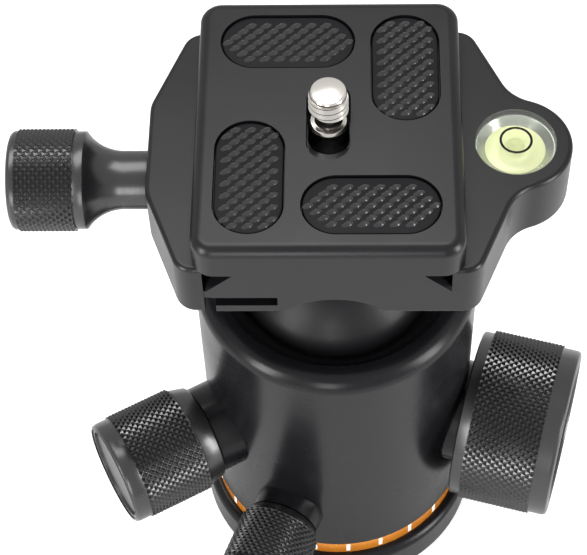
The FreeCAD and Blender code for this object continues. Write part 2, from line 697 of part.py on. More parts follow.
def make_pan_pad():
    body = new_body("pan_lock_pad")
    start = "(collar_radius + pan_nose_gap)"
    sketch = new_sketch(body, "YZ_Plane", lift=start)
    circles(sketch, [("0", "0")], "pan_plunger_radius")
    feature(body, "Pad", sketch, "pan_plunger_end - " + start)
    put_on_axis(body, "pan")


def knob_places(prefix):
    """Distances of a knob's steps from the axis of the head."""
    back = "(%s_boss_reach + %s_gap)" % (prefix, prefix)
    grip = "(%s + %s_flange_length)" % (back, prefix)
    end = "(%s + %s_grip_length)" % (grip, prefix)
    front = "(%s + %s_end_length)" % (end, prefix)
    recess = "(%s - cap_recess)" % front
    screw_end = "(%s - screw_cover)" % recess
    return back, grip, end, front, recess, screw_end


def make_knob_screw(prefix, label):
    body = new_body(label)
    screw_end = knob_places(prefix)[5]
    start = "%s_plunger_end" % prefix
    sketch = new_sketch(body, "YZ_Plane", lift=start)
    circles(sketch, [("0", "0")], prefix + "_screw_radius")
    feature(body, "Pad", sketch, "%s - %s" % (screw_end, start))
    put_on_axis(body, prefix)


def make_knob(prefix, label):
    body = new_body(label)
    back, grip, end, front, recess, screw_end = knob_places(prefix)
    size = {key: prefix + "_" + key for key in
            ("screw_radius", "flange_radius", "flange_top", "grip_radius", "end_radius", "cap_radius")}
    cross_lathe(body, [
        (back, size["screw_radius"]),
        (back, size["flange_radius"]),
        (grip, size["flange_top"]),
        (grip, size["grip_radius"]),
        (end, size["grip_radius"]),
        (end, size["end_radius"]),
        (front + " - knob_round", size["end_radius"]),
        (front, size["end_radius"] + " - knob_round", "knob_round", "right"),
        (front, size["cap_radius"]),
        (recess, size["cap_radius"]),
        (recess, "0"),
        (screw_end, "0"),
        (screw_end, size["screw_radius"]),
    ])
    put_on_axis(body, prefix)


def make_knob_cap(prefix, label):
    body = new_body(label)
    recess = knob_places(prefix)[4]
    sketch = new_sketch(body, "YZ_Plane", lift=recess)
    circles(sketch, [("0", "0")], prefix + "_cap_radius - cap_gap")
    feature(body, "Pad", sketch, "cap_thickness")
    put_on_axis(body, prefix)


# Clamp. Its pieces are drawn from the clamp's underside up, round the middle of the dovetail.


def put_on_clamp(item, x="0", y="0", z="0"):
    place(item, "clamp_shift + " + x, y, CLAMP_LOW + " + " + z)


def channel(body, points):
    """Cuts a shape seen from the front through the whole length of the clamp."""
    sketch = outline(new_sketch(body, "XZ_Plane"), points)
    return feature(body, "Pocket", sketch, "2 * clamp_half_length + 4", both=True)


def both_ends(body, points, inner, outer="clamp_half_length + 1"):
    """Cuts a shape seen from the front into both ends of the clamp."""
    for lift, front in (("(%s)" % inner, True), ("-(%s)" % inner, False)):
        sketch = outline(new_sketch(body, "XZ_Plane", lift=lift), points)
        feature(body, "Pocket", sketch, "%s - (%s)" % (outer, inner), reverse=front)


def box_points(low_x, high_x, low_z, high_z):
    return [(low_x, low_z), (high_x, low_z), (high_x, high_z), (low_x, high_z)]


def along_x_hole(body, centres, radius, start, length, reverse=True):
    sketch = new_sketch(body, "YZ_Plane", lift=start)
    circles(sketch, centres, radius)
    return feature(body, "Pocket", sketch, length, reverse=reverse)


def clamp_outline():
    """The fixed half seen from above: left edge, right shoulders, and the lobe of the level."""
    return [
        ("-clamp_left", "clamp_half_length"),
        ("-clamp_left", "-clamp_half_length"),
        ("clamp_shoulder", "-clamp_half_length"),
        ("lobe_reach", "lobe_side - lobe_radius"),
        ("lobe_reach + lobe_radius", "lobe_side", "lobe_radius", "left"),
        ("lobe_reach", "lobe_side + lobe_radius", "lobe_radius", "left"),
        ("clamp_shoulder", "clamp_half_length"),
    ]


def upright_near(x):
    """A test for upright edges at a distance from the middle of the dovetail."""
    return lambda edge: is_upright(edge) and abs(edge.Vertexes[0].X - x) < 0.01


def make_clamp_body():
    body = new_body("clamp_body")
    sketch = outline(new_sketch(body, "XY_Plane"), clamp_outline())
    feature(body, "Pad", sketch, "clamp_height")
    soften(body, "Fillet", "clamp_corner", upright_near(number("clamp_shoulder")))
    soften(body, "Fillet", "lobe_blend", upright_near(number("lobe_reach")))
    left = -number("clamp_left") + 0.01
    for height in ("clamp_height", "0"):
        level = number(height)
        soften(body, "Fillet", "clamp_edge",
               lambda edge: is_level_at(edge, level) and max(v.X for v in edge.Vertexes) > left)
    cut_dovetail(body)
    cut_jaw_room(body)
    cut_clamp_holes(body)
    put_on_clamp(body)


def cut_dovetail(body):
    wall = "(dovetail_width / 2 + grip_gap)"
    flank_low = "(clamp_height - %s + %s)" % (wall, LIP)
    channel(body, [
        ("-clamp_left - 1", "clamp_floor"),
        (wall, "clamp_floor"),
        (wall, flank_low),
        (LIP, "clamp_height"),
        (LIP, "clamp_height + 1"),
        ("-clamp_left - 1", "clamp_height + 1"),
    ])
    both_ends(body, box_points("0", wall, flank_low, "clamp_height + 1"), "lip_end")


def cut_jaw_room(body):
    room = box_points("-clamp_left - 1", "-pocket_reach", "pocket_floor", "clamp_floor + 1")
    both_ends(body, room, "tongue_start - tongue_gap")
    crown = "((arch_half_width ^ 2 + arch_height ^ 2 - 2 * arch_round * arch_height) / (2 * arch_height))"
    meet = "(arch_half_width * %s / (%s + arch_round))" % (crown, crown)
    meet_height = "(arch_height * arch_round / (%s + arch_round))" % crown
    both_ends(body, [
        ("-clamp_shift - arch_half_width", "-1"),
        ("-clamp_shift + arch_half_width", "-1"),
        ("-clamp_shift + arch_half_width", "0"),
        ("-clamp_shift + " + meet, meet_height, "arch_round", "right"),
        ("-clamp_shift - " + meet, meet_height, crown, "left"),
        ("-clamp_shift - arch_half_width", "0", "arch_round", "right"),
    ], "arch_start")


def cut_clamp_holes(body):
    centre = [("-clamp_shift", "0")]
    shank = circles(new_sketch(body, "XY_Plane"), centre, "mount_screw_radius + slip")
    feature(body, "Pocket", shank, "clamp_height", reverse=True)
    head = circles(new_sketch(body, "XY_Plane", lift="clamp_floor"), centre, "mount_head_radius + slip")
    feature(body, "Pocket", head, "mount_head_height + 2 * mount_head_room")
    thread = "-clamp_screw_bore_end - clamp_shift"
    along_x_hole(body, [("0", SCREW_LEVEL)], "clamp_screw_radius + slip", "-clamp_left",
                 "clamp_left + " + thread)
    pins = [("pin_side", SCREW_LEVEL), ("-pin_side", SCREW_LEVEL)]
    along_x_hole(body, pins, "pin_radius", "-clamp_left", "pin_depth")
    along_x_hole(body, pins, "spring_outer + slip", "-clamp_left", "spring_depth")
    pocket = circles(new_sketch(body, "XY_Plane", lift="clamp_height"), [("lobe_reach", "lobe_side")],
                     "level_radius")
    feature(body, "Pocket", pocket, "level_depth")


def make_clamp_jaw():
    body = new_body("clamp_jaw")
    sketch = outline(new_sketch(body, "XY_Plane"), [
        ("-" + LIP, "jaw_half_length"),
        ("-jaw_corner_reach", "jaw_half_length"),
        ("-jaw_back", "jaw_flat_half"),
        ("-jaw_back", "-jaw_flat_half"),
        ("-jaw_corner_reach", "-jaw_half_length"),
        ("-" + LIP, "-jaw_half_length"),
    ])
    feature(body, "Pad", sketch, "clamp_height")
    soften(body, "Fillet", "clamp_corner", upright_near(-number("jaw_corner_reach")))
    soften(body, "Fillet", "jaw_round", upright_near(-number("jaw_back")))
    inner = -number(LIP) - 0.01
    for height in ("clamp_height", "0"):
        level = number(height)
        soften(body, "Fillet", "clamp_edge",
               lambda edge: is_level_at(edge, level) and min(v.X for v in edge.Vertexes) < inner)
    flank_low = "(clamp_height - jaw_wall + %s)" % LIP
    channel(body, [
        ("0", "-1"),
        ("0", "clamp_height + 1"),
        ("-" + LIP, "clamp_height + 1"),
        ("-" + LIP, "clamp_height"),
        ("-jaw_wall", flank_low),
        ("-jaw_wall", "-1"),
    ])
    both_ends(body, box_points("-jaw_wall", "0", flank_low, "clamp_height + 1"), "lip_end")
    for side in ("", "-"):
        low = "clamp_floor - tongue_height"
        tongue = new_sketch(body, "XY_Plane", lift=low)
        near, far = ("tongue_start", "tongue_end") if side == "" else ("-tongue_end", "-tongue_start")
        rectangle(tongue, "-jaw_wall - 1", "-tongue_reach", near, far)
        feature(body, "Pad", tongue, "tongue_height - seat_gap")
    screw_hole = [("0", SCREW_LEVEL)]
    along_x_hole(body, screw_hole, "clamp_screw_radius + clamp_screw_play", "-jaw_back - 1",
                 "jaw_back - jaw_wall + 2")
    pins = [("pin_side", SCREW_LEVEL), ("-pin_side", SCREW_LEVEL)]
    along_x_hole(body, pins, "pin_radius + slip", "-jaw_wall",
                 "pin_reach + clamp_left - jaw_wall + pin_end_room", reverse=False)
    put_on_clamp(body)


def make_clamp_mount_screw():
    body = new_body("clamp_mount_screw")
    head_low = "(clamp_floor - mount_head_height - mount_head_room)"
    lathe(body, [
        ("0", "-mount_screw_depth"),
        ("mount_screw_radius", "-mount_screw_depth"),
        ("mount_screw_radius", head_low),
        ("mount_head_radius", head_low),
        ("mount_head_radius", head_low + " + mount_head_height"),
        ("0", head_low + " + mount_head_height"),
    ])
    socket = new_sketch(body, "XY_Plane", lift=head_low + " + mount_head_height")
    feature(body, "Pocket", hexagon(socket, "0", "0", "mount_head_socket"), "mount_socket_depth")
    place(body, z=CLAMP_LOW)


def make_guide_pins():
    body = new_body("jaw_guide_pins")
    sketch = new_sketch(body, "YZ_Plane", lift="-clamp_left - pin_reach")
    circles(sketch, [("pin_side", SCREW_LEVEL), ("-pin_side", SCREW_LEVEL)], "pin_radius")
    feature(body, "Pad", sketch, "pin_reach + pin_depth")
    put_on_clamp(body)


def make_jaw_springs():
    """Both springs at the length they have when the jaw is closed, as plain sleeves of wire."""
    body = new_body("jaw_springs")
    reach = "(jaw_wall - clamp_left - slip)"
    sketch = new_sketch(body, "YZ_Plane", lift="-clamp_left - " + reach)
    for radius in ("spring_outer", "spring_outer - spring_wire"):
        circles(sketch, [("pin_side", SCREW_LEVEL), ("-pin_side", SCREW_LEVEL)], radius)
    feature(body, "Pad", sketch, "spring_depth + " + reach)
    put_on_clamp(body)


def make_clamp_screw():
    body = new_body("clamp_screw")
    sketch = new_sketch(body, "YZ_Plane", lift="clamp_screw_tip")
    circles(sketch, [("0", "0")], "clamp_screw_radius")
    feature(body, "Pad", sketch, clamp_knob_places()[2] + " - clamp_screw_tip")
    put_on_clamp_knob(body)


def clamp_knob_places():
    """Distances of the clamp knob's steps from the axis of the head, counted to the left."""
    start = "(jaw_back - clamp_shift + clamp_knob_gap)"
    neck = "(%s + clamp_neck_length)" % start
    cove = "(%s + clamp_cove_length)" % neck
    grip = "(%s + clamp_ring_length)" % cove
    end = "(%s + clamp_grip_length)" % grip
    front = "(%s + clamp_end_length)" % end
    return start, neck, cove, grip, end, front


def put_on_clamp_knob(item):
    place(item, z=CLAMP_LOW + " + " + SCREW_LEVEL, turn="180")


def make_clamp_knob():
    body = new_body("clamp_knob")
    start, neck, cove, grip, end, front = clamp_knob_places()
    step = "(clamp_ring_radius - clamp_neck_radius)"
    cove_radius = "((clamp_cove_length ^ 2 + %s ^ 2) / (2 * %s))" % (step, step)
    cross_lathe(body, [
        (start, "clamp_screw_radius"),
        (start, "clamp_neck_radius"),
        (neck, "clamp_neck_radius"),
        (cove, "clamp_ring_radius", cove_radius, "left"),
        (grip, "clamp_ring_radius"),
        (grip, "clamp_grip_radius"),
        (end, "clamp_grip_radius"),
        (end, "clamp_end_radius"),
        (front + " - knob_round", "clamp_end_radius"),
        (front, "clamp_end_radius - knob_round", "knob_round", "right"),
        (front, "0"),
        (cove, "0"),
        (cove, "clamp_screw_radius"),
    ])
    put_on_clamp_knob(body)


# Bubble level, drawn from the bottom of its pocket up


def put_in_lobe(item):
    put_on_clamp(item, "lobe_reach", "lobe_side", "clamp_height - level_depth")


def make_level():
    inner = "(level_radius - level_wall)"
    fluid_top = "(level_depth + lens_stand - lens_height)"
    cup = new_body("level_cup")
    lathe(cup, [
        ("0", "0"),
        ("level_radius", "0"),
        ("level_radius", fluid_top),
        (inner, fluid_top),
        (inner, "level_wall"),
        ("0", "level_wall"),
    ])
    fluid = new_body("level_fluid")
    bubble_sphere = "((bubble_radius ^ 2 + bubble_depth ^ 2) / (2 * bubble_depth))"
    lathe(fluid, [
        ("0", "level_wall"),
        (inner, "level_wall"),
        (inner, fluid_top),
        ("bubble_radius", fluid_top),
        ("0", fluid_top + " - bubble_depth", bubble_sphere, "right"),
    ])
    bubble = new_body("level_bubble")
    lathe(bubble, [
        ("0", fluid_top),
        ("0", fluid_top + " - bubble_depth"),
        ("bubble_radius", fluid_top, bubble_sphere, "left"),
    ])
    top = "(%s + lens_height)" % fluid_top
    groove = top + " - target_thickness"
    target = ring("level_target", "target_radius - target_line", "target_radius", groove, top)
    lens = new_body("level_lens")
    lathe(lens, [
        ("0", fluid_top),
        ("level_radius", fluid_top),
        ("level_radius", top + " - lens_stand"),
        ("level_radius - lens_stand", top, "lens_stand", "left"),
        ("target_radius", top),
        ("target_radius", groove),
        ("target_radius - target_line", groove),
        ("target_radius - target_line", top),
        ("0", top),
    ])
    for body in (cup, fluid, bubble, target, lens):
        put_in_lobe(body)


# Plate. Its pieces are drawn from the plate's top face, round its middle.


def put_on_plate(item, y="0"):
    place(item, "clamp_shift", y, PLATE_TOP)


PAD_PLACES = [
    ("grip_pad_back", "-end_pad_across", "end_pad_along", "x"),
    ("grip_pad_front", "end_pad_across", "-end_pad_along", "x"),
    ("grip_pad_left", "-side_pad_across", "-side_pad_along", "y"),
    ("grip_pad_right", "side_pad_across", "side_pad_along", "y"),
]


def make_plate():
    body = new_body("camera_plate")
    half_x = "(plate_width / 2)"
    half_y = "(plate_length / 2)"
    slab = new_sketch(body, "XY_Plane", lift="-plate_slab")
    feature(body, "Pad", rectangle(slab, "-" + half_x, half_x, "-" + half_y, half_y), "plate_slab")
    soften(body, "Fillet", "plate_corner", is_upright)
    soften(body, "Fillet", "plate_edge", lambda edge: is_level_at(edge, 0))
    foot = "(dovetail_width / 2)"
    low = "(-plate_slab - dovetail_height)"
    bevel = "(dovetail_height - dovetail_flank) / 2"
    tail = outline(new_sketch(body, "XZ_Plane"), [
        ("-" + DOVETAIL_NECK, "-plate_slab"),
        ("-" + foot, "-plate_slab - dovetail_flank"),
        ("-" + foot, low + " + " + bevel),
        ("-%s + %s" % (foot, bevel), low),
        ("%s - %s" % (foot, bevel), low),
        (foot, low + " + " + bevel),
        (foot, "-plate_slab - dovetail_flank"),
        (DOVETAIL_NECK, "-plate_slab"),
    ])
    feature(body, "Pad", tail, "plate_length", both=True)
    cut_plate_openings(body)
    put_on_plate(body)


def cut_plate_openings(body):
    slot = new_sketch(body, "XY_Plane")
    obround(slot, "0", "0", "(slot_travel + slot_width / 2)", "(slot_width / 2)", "y")
    feature(body, "Pocket", slot, "well_roof + 1")
    well = new_sketch(body, "XY_Plane", lift="-well_roof")
    obround(well, "0", "0", "(slot_travel + well_radius)", "well_radius", "y")
    feature(body, "Pocket", well, "plate_slab + dovetail_height - well_roof + 1")
    for label, x, y, along in PAD_PLACES:
        pocket = new_sketch(body, "XY_Plane")
        obround(pocket, x, y, "(pad_length / 2)", "(pad_width / 2)", along)
        feature(body, "Pocket", pocket, "pad_pocket")


def make_grip_pad(label, x, y, along):
    body = new_body(label)
    sketch = new_sketch(body, "XY_Plane", lift="-pad_pocket")
    obround(sketch, x, y, "(pad_length / 2 - pad_gap)", "(pad_width / 2 - pad_gap)", along)
    feature(body, "Pad", sketch, "pad_height")
    put_on_plate(body)


def make_screw_keeper():
    keeper = ring("screw_keeper", "camera_shoulder_radius + keeper_play", "keeper_radius",
                  "-well_roof - keeper_play - keeper_thickness", "-well_roof - keeper_play")
    put_on_plate(keeper, "camera_screw_place")


def make_camera_screw():
    body = new_body("camera_screw")
    head_top = "(-well_roof - 2 * keeper_play - keeper_thickness)"
    lathe(body, [
        ("0", head_top + " - camera_head_height"),
        ("camera_head_radius", head_top + " - camera_head_height"),
        ("camera_head_radius", head_top),
        ("camera_shoulder_radius", head_top),
        ("camera_shoulder_radius", "-camera_neck_length"),
        ("camera_neck_radius", "-camera_neck_length"),
        ("camera_neck_radius", "0"),
        ("camera_thread_radius - camera_thread_tip", "0"),
        ("camera_thread_radius", "camera_thread_tip"),
        ("camera_thread_radius", "camera_thread_length - camera_thread_tip"),
        ("camera_thread_radius - camera_thread_tip", "camera_thread_length"),
        ("0", "camera_thread_length"),
    ])
    slot = new_sketch(body, "XY_Plane", lift=head_top + " - camera_head_height")
    rectangle(slot, "-camera_head_radius - 1", "camera_head_radius + 1",
              "-camera_slot_width / 2", "camera_slot_width / 2")
    feature(body, "Pocket", slot, "camera_slot_depth", reverse=True)
    put_on_plate(body, "camera_screw_place")


def make_all():
    make_base_plate()
    ring("tripod_bush", "thread_radius", "bush_radius", "0", "bush_length")
    make_base_screws()
    make_pan_spindle()
    make_spindle_collar()
    ring("pan_washer", "spindle_post + 2 * slip", "spindle_flange", FLANGE_TOP, RING_TOP)
    ring("scale_ring", "scale_inner", "scale_outer", "base_height", RING_TOP)
    make_housing()
    make_ball_seat_ring()
    make_ball_cup()
    make_ball()
    make_ball_stem()
    make_plunger("lock", "lock_wedge")
    make_plunger("friction", "friction_wedge")
    make_pan_pad()
    for prefix, name in (("lock", "ball_lock"), ("friction", "friction"), ("pan", "pan_lock")):
        make_knob_screw(prefix, name + "_screw")
        make_knob(prefix, name + "_knob")
        make_knob_cap(prefix, name + "_cap")
    make_clamp_body()
    make_clamp_jaw()
    make_clamp_mount_screw()
    make_guide_pins()
    make_jaw_springs()
    make_clamp_screw()
    make_clamp_knob()
    make_level()
    make_plate()
    for label, x, y, along in PAD_PLACES:
        make_grip_pad(label, x, y, along)
    make_screw_keeper()
    make_camera_screw()
    document.recompute()


def check_all():
    for item in document.Objects:
        if "Invalid" in item.State or "Error" in item.State:
            raise RuntimeError("%s %s failed" % (item.Name, item.Label))
    for item in subparts:
        if item.Shape.isNull() or not item.Shape.isValid():
            raise RuntimeError("%s has no sound shape" % item.Label)


def write_all():
    os.makedirs("parts", exist_ok=True)
    for item in subparts:
        item.Shape.exportStep("parts/%s.step" % item.Label)
        print(item.Label, len(item.Shape.Solids), round(item.Shape.Volume, 1))


make_all()
check_all()
write_all()
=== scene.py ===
# %% [markdown]
# Tripod ball head, dressed for its portrait.
# The solids arrive finished from the workshop: housing, clamp, plate, ball and screws.
# This lesson gives them their finish, and models by hand what a lathe or a mould leaves on them:
# diamond knurling, rubber nubs, a real screw thread, the marks of the scale and the bubble level.

# %% Load the frame
import math
import bpy
from mathutils import Matrix, Vector


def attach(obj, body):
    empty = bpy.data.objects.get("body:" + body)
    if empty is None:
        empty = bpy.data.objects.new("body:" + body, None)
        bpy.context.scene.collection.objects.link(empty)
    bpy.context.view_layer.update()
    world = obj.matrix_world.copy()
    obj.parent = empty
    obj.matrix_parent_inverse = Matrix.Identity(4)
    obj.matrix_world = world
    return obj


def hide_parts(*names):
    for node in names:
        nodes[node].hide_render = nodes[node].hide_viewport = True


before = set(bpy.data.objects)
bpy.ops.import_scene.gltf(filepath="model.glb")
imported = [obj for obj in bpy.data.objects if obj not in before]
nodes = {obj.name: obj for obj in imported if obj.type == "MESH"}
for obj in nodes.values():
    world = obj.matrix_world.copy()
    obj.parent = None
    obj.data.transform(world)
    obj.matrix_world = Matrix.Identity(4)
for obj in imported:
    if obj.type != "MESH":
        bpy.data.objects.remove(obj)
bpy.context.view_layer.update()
MM = 0.001

# %% [markdown]
# The photograph was taken from high in front, with a long lens and a hair of roll.
# The camera's place was fitted to the plate's corners and the knobs, so it is written here as
# a place, a height angle, a turn and a roll, and the lens follows from the picture's scale.

# %% The camera
PICTURE_WIDTH = 587
FOCAL_PIXELS = 1999.1
SENSOR = 36.0
camera_place = Vector((2.37, -193.85, 358.9)) * MM
camera_height = math.radians(56.32)
camera_turn = math.radians(2.901)
camera_roll = math.radians(-2.522)

back = Vector((
    math.sin(camera_turn) * math.cos(camera_height),
    -math.cos(camera_turn) * math.cos(camera_height),
    math.sin(camera_height),
))
level_right = Vector((math.cos(camera_turn), math.sin(camera_turn), 0))
level_up = back.cross(level_right)
right = math.cos(camera_roll) * level_right + math.sin(camera_roll) * level_up
up = math.cos(camera_roll) * level_up - math.sin(camera_roll) * level_right
camera_data = bpy.data.cameras.new("camera")
camera_data.sensor_width = SENSOR
camera_data.lens = FOCAL_PIXELS / PICTURE_WIDTH * SENSOR
camera_data.clip_start = 0.01
camera = bpy.data.objects.new("camera", camera_data)
turn = Matrix((right, up, back)).transposed()
camera.matrix_world = Matrix.Translation(camera_place) @ turn.to_4x4()
bpy.context.scene.collection.objects.link(camera)
bpy.context.scene.camera = camera
bpy.context.scene.view_settings.view_transform = "Standard"
print("lens", round(camera_data.lens, 1), "mm")

# %% [markdown]
# A product like this is shot in a white tent. Black metal shows only what it mirrors, so the
# modelling comes from large soft boxes with dark gaps between them. The white backdrop is seen by
# the camera and by reflections at strength one, while the light that falls on the object is lower.

# %% Backdrop and soft boxes
TENT_LIGHT = 0.45

world = bpy.data.worlds.new("tent")
bpy.context.scene.world = world
world.use_nodes = True
tent = world.node_tree
tent.nodes.clear()
paths = tent.nodes.new("ShaderNodeLightPath")
seen = tent.nodes.new("ShaderNodeMath")
seen.operation = "MAXIMUM"
shown = tent.nodes.new("ShaderNodeMath")
shown.operation = "MAXIMUM"
strength = tent.nodes.new("ShaderNodeMapRange")
strength.inputs["To Min"].default_value = TENT_LIGHT
strength.inputs["To Max"].default_value = 1.0
backdrop = tent.nodes.new("ShaderNodeBackground")
backdrop.inputs["Color"].default_value = (1.0, 1.0, 1.0, 1.0)
world_out = tent.nodes.new("ShaderNodeOutputWorld")
tent.links.new(paths.outputs["Is Camera Ray"], seen.inputs[0])
tent.links.new(paths.outputs["Is Transmission Ray"], seen.inputs[1])
tent.links.new(seen.outputs["Value"], shown.inputs[0])
tent.links.new(paths.outputs["Is Glossy Ray"], shown.inputs[1])
tent.links.new(shown.outputs["Value"], strength.inputs["Value"])
tent.links.new(strength.outputs["Result"], backdrop.inputs["Strength"])
tent.links.new(backdrop.outputs["Background"], world_out.inputs["Surface"])


def soft_box(name, place, aim, width, height, power):
    """An area lamp at a place in millimetres, turned towards a point."""
    lamp = bpy.data.lights.new(name, "AREA")
    lamp.shape = "RECTANGLE"
    lamp.size = width * MM
    lamp.size_y = height * MM
    lamp.energy = power
    holder = bpy.data.objects.new(name, lamp)
    holder.location = Vector(place) * MM
    direction = Vector(aim) * MM - holder.location
    holder.rotation_euler = direction.to_track_quat("-Z", "Y").to_euler()
    bpy.context.scene.collection.objects.link(holder)


soft_box("overhead_box", (-60, 120, 520), (0, 0, 60), 320, 260, 1.6)
soft_box("left_box", (-330, -300, 190), (0, 0, 50), 120, 300, 2.0)
soft_box("right_box", (360, -180, 170), (0, 0, 40), 110, 280, 1.7)
soft_box("front_box", (-40, -420, 160), (0, 0, 45), 90, 220, 0.55)
print("soft boxes set")

# %% [markdown]
# The finishes come next. Every black part of this head is anodised aluminium, first blasted with
# fine beads. The grain is far finer than a millimetre, so it is noise that feeds a bump, and the
# same noise breaks up the gloss a little. One node group makes the grain for all the metals.

# %% Grain, shared by the metals


def new_group(name, inputs, outputs):
    """An empty shader group with named inputs (kind and first value) and outputs."""
    group = bpy.data.node_groups.new(name, "ShaderNodeTree")
    for label, kind, value in inputs:
        socket = group.interface.new_socket(name=label, in_out="INPUT", socket_type=kind)
        socket.default_value = value
    for label, kind in outputs:
        group.interface.new_socket(name=label, in_out="OUTPUT", socket_type=kind)
    entry = group.nodes.new("NodeGroupInput")
    leave = group.nodes.new("NodeGroupOutput")
    return group, entry, leave


FLOAT = "NodeSocketFloat"
grain_group, entry, leave = new_group(
    "blasted_grain",
    [("Grains per metre", FLOAT, 4000.0), ("Depth", FLOAT, 0.1), ("Roughness", FLOAT, 0.4),
     ("Spread", FLOAT, 0.08)],
    [("Roughness", FLOAT), ("Normal", "NodeSocketVector"), ("Cloud", FLOAT)],
)
coordinates = grain_group.nodes.new("ShaderNodeTexCoord")
fine = grain_group.nodes.new("ShaderNodeTexNoise")
fine.inputs["Detail"].default_value = 3.0
cloud = grain_group.nodes.new("ShaderNodeTexNoise")
cloud.inputs["Scale"].default_value = 90.0
cloud.inputs["Detail"].default_value = 4.0
bump = grain_group.nodes.new("ShaderNodeBump")
bump.inputs["Distance"].default_value = 0.00002
spread = grain_group.nodes.new("ShaderNodeMapRange")
lowest = grain_group.nodes.new("ShaderNodeMath")
lowest.operation = "SUBTRACT"
highest = grain_group.nodes.new("ShaderNodeMath")
highest.operation = "ADD"
link = grain_group.links.new
link(coordinates.outputs["Object"], fine.inputs["Vector"])
link(coordinates.outputs["Object"], cloud.inputs["Vector"])
link(entry.outputs["Grains per metre"], fine.inputs["Scale"])
link(entry.outputs["Depth"], bump.inputs["Strength"])
link(fine.outputs["Fac"], bump.inputs["Height"])
link(entry.outputs["Roughness"], lowest.inputs[0])
link(entry.outputs["Spread"], lowest.inputs[1])
link(entry.outputs["Roughness"], highest.inputs[0])
link(entry.outputs["Spread"], highest.inputs[1])
link(cloud.outputs["Fac"], spread.inputs["Value"])
link(lowest.outputs["Value"], spread.inputs["To Min"])
link(highest.outputs["Value"], spread.inputs["To Max"])
link(spread.outputs["Result"], leave.inputs["Roughness"])
link(bump.outputs["Normal"], leave.inputs["Normal"])
link(cloud.outputs["Fac"], leave.inputs["Cloud"])
print("grain group ready")

# %% [markdown]
# A metal finish is then one shader: a colour that drifts a little between two near tones, the
# grain for gloss and bump, and a fixed metallic and specular level. The blacks are kept very dark
# and not very shiny, because the white tent in their mirror already makes them greyer.

# %% Metal finishes


def metal(name, dark, light, roughness, metallic=0.0, grains=4000.0, depth=0.1, spread=0.08,
          specular=0.5):
    """A grained finish whose colour drifts between two near tones."""
    material = bpy.data.materials.new(name)
    material.use_nodes = True
    tree = material.node_tree
    shader = tree.nodes["Principled BSDF"]
    grain = tree.nodes.new("ShaderNodeGroup")
    grain.node_tree = grain_group
    grain.inputs["Grains per metre"].default_value = grains
    grain.inputs["Depth"].default_value = depth
    grain.inputs["Roughness"].default_value = roughness
    grain.inputs["Spread"].default_value = spread
    tone = tree.nodes.new("ShaderNodeMix")
    tone.data_type = "RGBA"
    tone.inputs["A"].default_value = (*dark, 1.0)
    tone.inputs["B"].default_value = (*light, 1.0)
    tree.links.new(grain.outputs["Cloud"], tone.inputs["Factor"])
    tree.links.new(tone.outputs["Result"], shader.inputs["Base Color"])
    tree.links.new(grain.outputs["Roughness"], shader.inputs["Roughness"])
    tree.links.new(grain.outputs["Normal"], shader.inputs["Normal"])
    shader.inputs["Metallic"].default_value = metallic
    shader.inputs["Specular IOR Level"].default_value = specular
    return material


satin_black = metal("satin_black", (0.004, 0.004, 0.005), (0.008, 0.008, 0.009), 0.26,
                    specular=0.18)
plate_black = metal("plate_black", (0.004, 0.004, 0.005), (0.008, 0.008, 0.009), 0.32,
                    specular=0.24)
knurl_black = metal("knurl_black", (0.008, 0.008, 0.009), (0.014, 0.014, 0.015), 0.28,
                    specular=0.62)
cap_grey = metal("cap_grey", (0.040, 0.041, 0.043), (0.058, 0.059, 0.062), 0.42, specular=0.45)
ball_black = metal("ball_black", (0.003, 0.003, 0.004), (0.010, 0.010, 0.011), 0.42,
                   grains=2200.0, depth=0.9, spread=0.12, specular=0.20)
nickel = metal("nickel", (0.50, 0.48, 0.45), (0.62, 0.59, 0.55), 0.20, metallic=1.0, depth=0.02)
dark_steel = metal("dark_steel", (0.10, 0.10, 0.11), (0.17, 0.17, 0.18), 0.32, metallic=1.0)
black_plastic = metal("black_plastic", (0.012, 0.012, 0.013), (0.020, 0.020, 0.021), 0.5,
                      specular=0.4)
orange_anodised = metal("orange_anodised", (0.82, 0.24, 0.02), (0.95, 0.36, 0.04), 0.26,
                        metallic=0.6, depth=0.04)
silver_wall = metal("silver_wall", (0.22, 0.25, 0.20), (0.44, 0.47, 0.40), 0.22, metallic=0.8)
white_paint = metal("white_paint", (0.80, 0.80, 0.78), (0.88, 0.88, 0.86), 0.5, depth=0.05)
print("metal finishes", len(bpy.data.materials))

# %% [markdown]
# Rubber is different: its skin carries the texture of the mould. The ground between the nubs is
# dull and dark, and the crests of the nubs are rubbed smooth, so they get a glossier finish.

# %% Rubber
rubber_ground = metal("rubber_ground", (0.004, 0.004, 0.005), (0.008, 0.008, 0.009), 0.55,
                      grains=2600.0, depth=0.5, spread=0.08, specular=0.12)
rubber = metal("rubber", (0.006, 0.006, 0.007), (0.012, 0.012, 0.013), 0.20, grains=2600.0,
               depth=0.3, spread=0.06, specular=0.60)
rubber.node_tree.nodes["Principled BSDF"].inputs["Sheen Weight"].default_value = 0.03

# %% [markdown]
# The bubble level has three finishes of its own. The liquid is bright yellow-green, and its
# slight glow is painted light: a faint emission in place of light shining through it. The cap is
# clear, and is made with alpha, which lets the light of the room reach the liquid. The printed
# target is plain black.

# %% Level finishes


def clear(name, color, alpha, roughness):
    material = bpy.data.materials.new(name)
    material.use_nodes = True
    tree = material.node_tree
    shader = tree.nodes["Principled BSDF"]
    shader.inputs["Base Color"].default_value = (*color, 1.0)
    shader.inputs["Alpha"].default_value = alpha
    grain = tree.nodes.new("ShaderNodeGroup")
    grain.node_tree = grain_group
    grain.inputs["Depth"].default_value = 0.01
    grain.inputs["Roughness"].default_value = roughness
    grain.inputs["Spread"].default_value = 0.02
    tree.links.new(grain.outputs["Roughness"], shader.inputs["Roughness"])
    tree.links.new(grain.outputs["Normal"], shader.inputs["Normal"])
    return material


